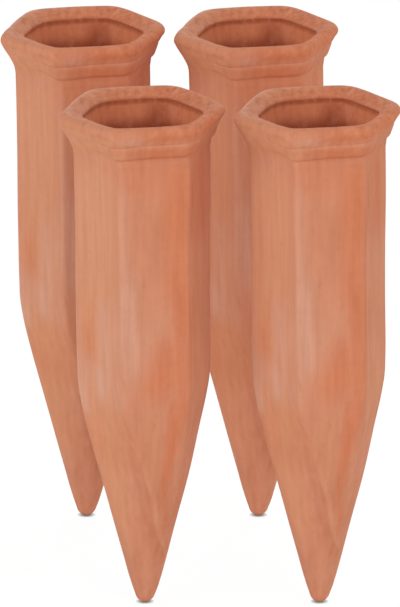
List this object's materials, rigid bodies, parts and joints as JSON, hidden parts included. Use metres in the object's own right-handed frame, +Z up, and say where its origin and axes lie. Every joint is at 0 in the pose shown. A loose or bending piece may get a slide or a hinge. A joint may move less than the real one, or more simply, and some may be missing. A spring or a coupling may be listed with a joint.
{
  "type": "plant watering spike set",
  "caption": "Matched set of hollow six-sided unglazed terracotta plant watering spikes with pointed feet and moulded collars that take an upturned bottle.",
  "frame": {"origin": "midway between the tips of the four spikes, at the level of the tips", "axes": "+Z up along every spike from its tip to its mouth, +X along the rows to the right of the picture, +Y from the front row to the rear row"},
  "size_m": [0.1536, 0.169, 0.199],
  "materials": {
    "terracotta": "matte, unglazed"
  },
  "bodies": {
    "front_left_body": {"spike_front_left": "terracotta"},
    "front_right_body": {"spike_front_right": "terracotta"},
    "rear_left_body": {"spike_rear_left": "terracotta"},
    "rear_right_body": {"spike_rear_right": "terracotta"}
  },
  "joints": [
    {"name": "front_left_lift", "type": "slide", "parent": "front_right_body", "child": "front_left_body", "axis": [0, 0, 1], "range_m": [0, 0.2]},
    {"name": "rear_left_lift", "type": "slide", "parent": "front_right_body", "child": "rear_left_body", "axis": [0, 0, 1], "range_m": [0, 0.2]},
    {"name": "rear_right_lift", "type": "slide", "parent": "front_right_body", "child": "rear_right_body", "axis": [0, 0, 1], "range_m": [0, 0.2]}
  ]
}
